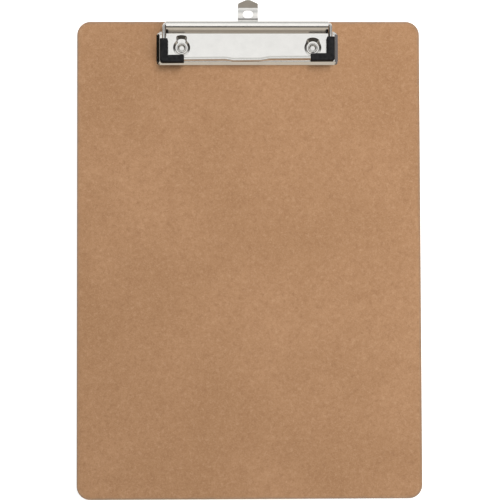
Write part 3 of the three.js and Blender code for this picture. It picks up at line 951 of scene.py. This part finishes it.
def rivet(side, word, material):
    mesh = bmesh.new()
    profile = rivet_profile()
    center = Vector((side * RIVET_X, -RIVET_BACK, 0))
    rows = [
        [center + Vector((radius * math.cos(angle), radius * math.sin(angle), height))
         for angle in full_circle(ROUND_SIDES)]
        for radius, height in profile[1:-1]
    ]
    made = add_grid(mesh, rows, closed=True)
    for ring, (_, height) in ((made[0], profile[0]), (made[-1], profile[-1])):
        pole = mesh.verts.new(center + Vector((0, 0, height)))
        for i, vertex in enumerate(ring):
            mesh.faces.new((vertex, ring[(i + 1) % ROUND_SIDES], pole))
    bmesh.ops.recalc_face_normals(mesh, faces=mesh.faces)
    piece = to_object(f"tubular_rivet_{word}", mesh, CLIP_ORIGIN_M)
    finish_piece(piece, "board_assembly", [f"rivet_{word}"], material)


# ---- the hanger tab ----

def tab_outline():
    """The tab's plan before its lip is bent up: (x, along) points, anticlockwise from its tail's middle."""
    right = [
        ((TAIL_HALF_WIDTH - TAIL_CORNER, -TAIL_END), TAIL_CORNER_BEND),
        ((TAIL_HALF_WIDTH, -TAIL_END + TAIL_CORNER), TAIL_CORNER_BEND),
        ((TAIL_HALF_WIDTH, -TAIL_SHOULDER), TAIL_SIDE_BEND),
        ((TAB_HALF_WIDTH, -TAIL_SHOULDER), NECK_BEND),
        ((TAB_HALF_WIDTH, TAB_REACH + LIP_SIDE_LENGTH), LIP_CORNER_BEND),
    ]
    left = [((-x, along), bend) for (x, along), bend in reversed(right)]
    tip = ((0, TAB_REACH + LIP_LENGTH), LIP_TIP_BEND)
    tail = ((0, -TAIL_END), 0)
    return rounded_line([tail, *right, tip, *left, tail])[:-1]


def tab_hole():
    """The tab's oval hole in its plan: two half circles, joined by straight sides."""
    hole = []
    for side, start in ((1, -math.pi / 2), (-1, math.pi / 2)):
        center = (side * (TAB_HOLE_HALF_LENGTH - TAB_HOLE_HALF_WIDTH), TAB_HOLE_REACH)
        hole += arc(center, TAB_HOLE_HALF_WIDTH, start, start + math.pi, TAB_HOLE_END_STEPS)
    return hole


def pressed_height(along):
    """How high the low step and the slight swell stand on the tab's flat part."""
    near_foot, near_top, far_top, far_foot = TAB_STEP_REACH
    rise = smooth_step((along - near_foot) / (near_top - near_foot))
    fall = smooth_step((far_foot - along) / (far_foot - far_top))
    off_swell = min(abs(along - TAB_SWELL_REACH) / TAB_SWELL_LENGTH, 0.5)
    swell = (1 + math.cos(2 * math.pi * off_swell)) / 2
    return TAB_STEP_HEIGHT * rise * fall + TAB_SWELL_HEIGHT * swell


def press_tab(x, along, height):
    """Where a point of the flat tab goes: up with its step or swell, or round the bend with its lip."""
    past = along - TAB_BEND_START
    if past <= 0:
        return Vector((x, along, height + pressed_height(along)))
    angle = min(past / TAB_BEND_RADIUS, LIP_ANGLE)
    rest = past - angle * TAB_BEND_RADIUS
    radius = TAB_BEND_RADIUS - height + TAB_SHEET
    y = TAB_BEND_START + radius * math.sin(angle) + rest * math.cos(angle)
    z = TAB_BEND_RADIUS + TAB_SHEET - radius * math.cos(angle) + rest * math.sin(angle)
    return Vector((x, y, z))


def tab_cuts():
    """Where the flat tab is cut across, so that it can follow its bend, its step and its swell."""
    half_swell = TAB_SWELL_LENGTH / 2
    stretches = [
        (TAB_BEND_START, TAB_BEND_START + TAB_BEND_RADIUS * LIP_ANGLE),
        (TAB_STEP_REACH[0], TAB_STEP_REACH[-1]),
        (TAB_SWELL_REACH - half_swell, TAB_SWELL_REACH + half_swell),
    ]
    return [along for start, end in stretches for along in evenly(start, end, TAB_BEND_STEPS)]


def hanger_tab():
    mesh = bmesh.new()
    for loop in (tab_outline(), tab_hole()):
        made = [mesh.verts.new((x, y, TAB_SHEET)) for x, y in loop]
        for i, vertex in enumerate(made):
            mesh.edges.new((vertex, made[(i + 1) % len(made)]))
    merge(mesh)
    fill_level(mesh, TAB_SHEET)
    for along in tab_cuts():
        bmesh.ops.bisect_plane(
            mesh, geom=[*mesh.verts, *mesh.edges, *mesh.faces],
            plane_co=(0, along, 0), plane_no=(0, 1, 0))
    for vertex in mesh.verts:
        vertex.co = press_tab(*vertex.co)
    bmesh.ops.dissolve_limit(mesh, angle_limit=FLAT_ANGLE, verts=mesh.verts, edges=mesh.edges)
    face_up(mesh)
    origin = CLIP_ORIGIN_M + Vector((HANGER_OFFSET_X, 0, REST_GAP)) * MM
    piece = to_object("hanger_plate", mesh, origin)
    thicken(piece, TAB_SHEET)
    soften_edges(piece, width=TAB_EDGE_BEVEL)
    finish_piece(piece, "hanger", ["hanger_tab"], nickel("nickel_tab"))


# ---- the stage ----

def stage_floor():
    """A pale floor that the board lies on. It looks nearly white, but lights the board less than it looks."""
    half = FLOOR_HALF_WIDTH_M
    corners = [(-half, -half), (half, -half), (half, half), (-half, half)]
    data = bpy.data.meshes.new("floor")
    data.from_pydata([(x, y, cad_box[0].z) for x, y in corners], [], [(0, 1, 2, 3)])
    floor = bpy.data.objects.new("floor", data)
    bpy.context.scene.collection.objects.link(floor)
    s = Surface("floor_white")
    seen = s.node("ShaderNodeLightPath").outputs["Is Camera Ray"]
    s.set(Base_Color=rgba(0.5, 0.5, 0.5), Roughness=0.9, Emission_Color=rgba(1, 1, 1),
          Emission_Strength=s.remap(seen, 0, 1, FLOOR_GLOW, FLOOR_GLOW_SEEN))
    data.materials.append(s.material)


def sky_ramp(sky, height, stops):
    """A colour that changes with the elevation of the direction, given as (degrees, colour) stops."""
    node = sky.node("ShaderNodeValToRGB")
    sky.link(height, node.inputs["Fac"])
    elements = node.color_ramp.elements
    while len(elements) < len(stops):
        elements.new(0.5)
    for element, (degrees, color) in zip(elements, stops):
        element.position = math.sin(degrees * DEGREE)
        element.color = rgba(*color)
    return node.outputs["Color"]


def world():
    """Studio surroundings: a soft ceiling, warm front, pale back, grey right and dark left.

    The camera sees plain white behind the floor, and matt surfaces get only a share of the light.
    """
    studio = bpy.data.worlds.new("studio")
    bpy.context.scene.world = studio
    studio.use_nodes = True
    studio.node_tree.nodes.clear()
    sky = Nodes(studio.node_tree)
    way = sky.node("ShaderNodeSeparateXYZ")
    sky.link(sky.node("ShaderNodeTexCoord").outputs["Generated"], way.inputs[0])
    across, away, height = (way.outputs[axis] for axis in "XYZ")

    front = sky_ramp(sky, height, [
        (0, (0.15, 0.125, 0.095)), (13, (0.2, 0.17, 0.135)), (19, (0.58, 0.52, 0.44)),
        (32, (0.66, 0.59, 0.5)), (41, (0.44, 0.4, 0.345)), (49, (0.38, 0.35, 0.305)),
        (55.5, (0.05, 0.045, 0.038)), (65.2, (0.05, 0.045, 0.038)), (67.7, CEILING_COLOR),
    ])
    back = sky_ramp(sky, height, [
        (0, (0.62, 0.63, 0.6)), (14, (0.8, 0.8, 0.78)), (40, (0.8, 0.8, 0.78)),
        (45, (0.14, 0.13, 0.12)), (55, (0.14, 0.13, 0.12)), (60, (0.7, 0.71, 0.71)),
        (70, (0.7, 0.71, 0.71)), (79, (0.89, 0.9, 0.9)), (86, (1, 1.01, 1.01)),
    ])
    right = sky_ramp(sky, height, [
        (0, (0.18, 0.165, 0.17)), (20, (0.19, 0.18, 0.18)), (26, (0.05, 0.045, 0.045)),
        (44, (0.05, 0.045, 0.045)), (54, (0.4, 0.38, 0.37)), (64, CEILING_COLOR),
    ])
    left = sky_ramp(sky, height, [
        (0, (0.01, 0.008, 0.006)), (25, (0.012, 0.01, 0.008)), (54, (0.1, 0.09, 0.08)),
        (64, CEILING_COLOR),
    ])
    around = sky.mix(sky.remap(away, -0.1, 0.35, 0, 1, "SMOOTHSTEP"), front, back)
    around = sky.mix(sky.remap(across, 0.6, 0.85, 0, 1, "SMOOTHSTEP"), around, right)
    around = sky.mix(sky.remap(across, -0.6, -0.85, 0, 1, "SMOOTHSTEP"), around, left)

    rays = sky.node("ShaderNodeLightPath")
    surroundings = sky.node("ShaderNodeBackground")
    sky.link(around, surroundings.inputs["Color"])
    strength = sky.remap(rays.outputs["Is Diffuse Ray"], 0, 1, 1, AMBIENT_SHARE)
    sky.link(strength, surroundings.inputs["Strength"])
    backdrop = sky.node("ShaderNodeBackground")
    backdrop.inputs["Color"].default_value = rgba(1, 1, 1)
    choice = sky.node("ShaderNodeMixShader")
    sky.link(rays.outputs["Is Camera Ray"], choice.inputs[0])
    sky.link(surroundings.outputs[0], choice.inputs[1])
    sky.link(backdrop.outputs[0], choice.inputs[2])
    sky.link(choice.outputs[0], sky.node("ShaderNodeOutputWorld").inputs["Surface"])


def soft_light(name, place, size, power):
    """A round lamp aimed at the board. The metal doesn't mirror it: it mirrors only the surroundings."""
    data = bpy.data.lights.new(name, "AREA")
    data.shape = "DISK"
    data.size = size
    data.energy = power
    data.color = LIGHT_COLOR
    light = bpy.data.objects.new(name, data)
    light.location = place
    target = CLIP_ORIGIN_M * LIGHT_AIM
    light.rotation_euler = (target - light.location).to_track_quat("-Z", "Y").to_euler()
    light.visible_camera = False
    light.visible_glossy = False
    bpy.context.scene.collection.objects.link(light)


def camera():
    data = bpy.data.cameras.new("camera")
    data.lens = CAMERA_LENS
    data.clip_start, data.clip_end = CAMERA_CLIP_M
    made = bpy.data.objects.new("camera", data)
    made.location = CAMERA_PLACE_M
    made.rotation_euler = CAMERA_TURN
    bpy.context.scene.collection.objects.link(made)
    bpy.context.scene.camera = made


camera()
stage_floor()
world()
soft_light("key", KEY_PLACE_M, KEY_SIZE_M, KEY_POWER)
soft_light("fill", FILL_PLACE_M, FILL_SIZE_M, FILL_POWER)
bpy.context.scene.view_settings.view_transform = "Standard"

board()
base_plate()
jaw_wire()
rubber = black_rubber()
rivet_nickel = nickel("nickel_rivet")
for side, word in ((-1, "left"), (1, "right")):
    corner_grip(side, word, rubber)
    rivet(side, word, rivet_nickel)
hanger_tab()
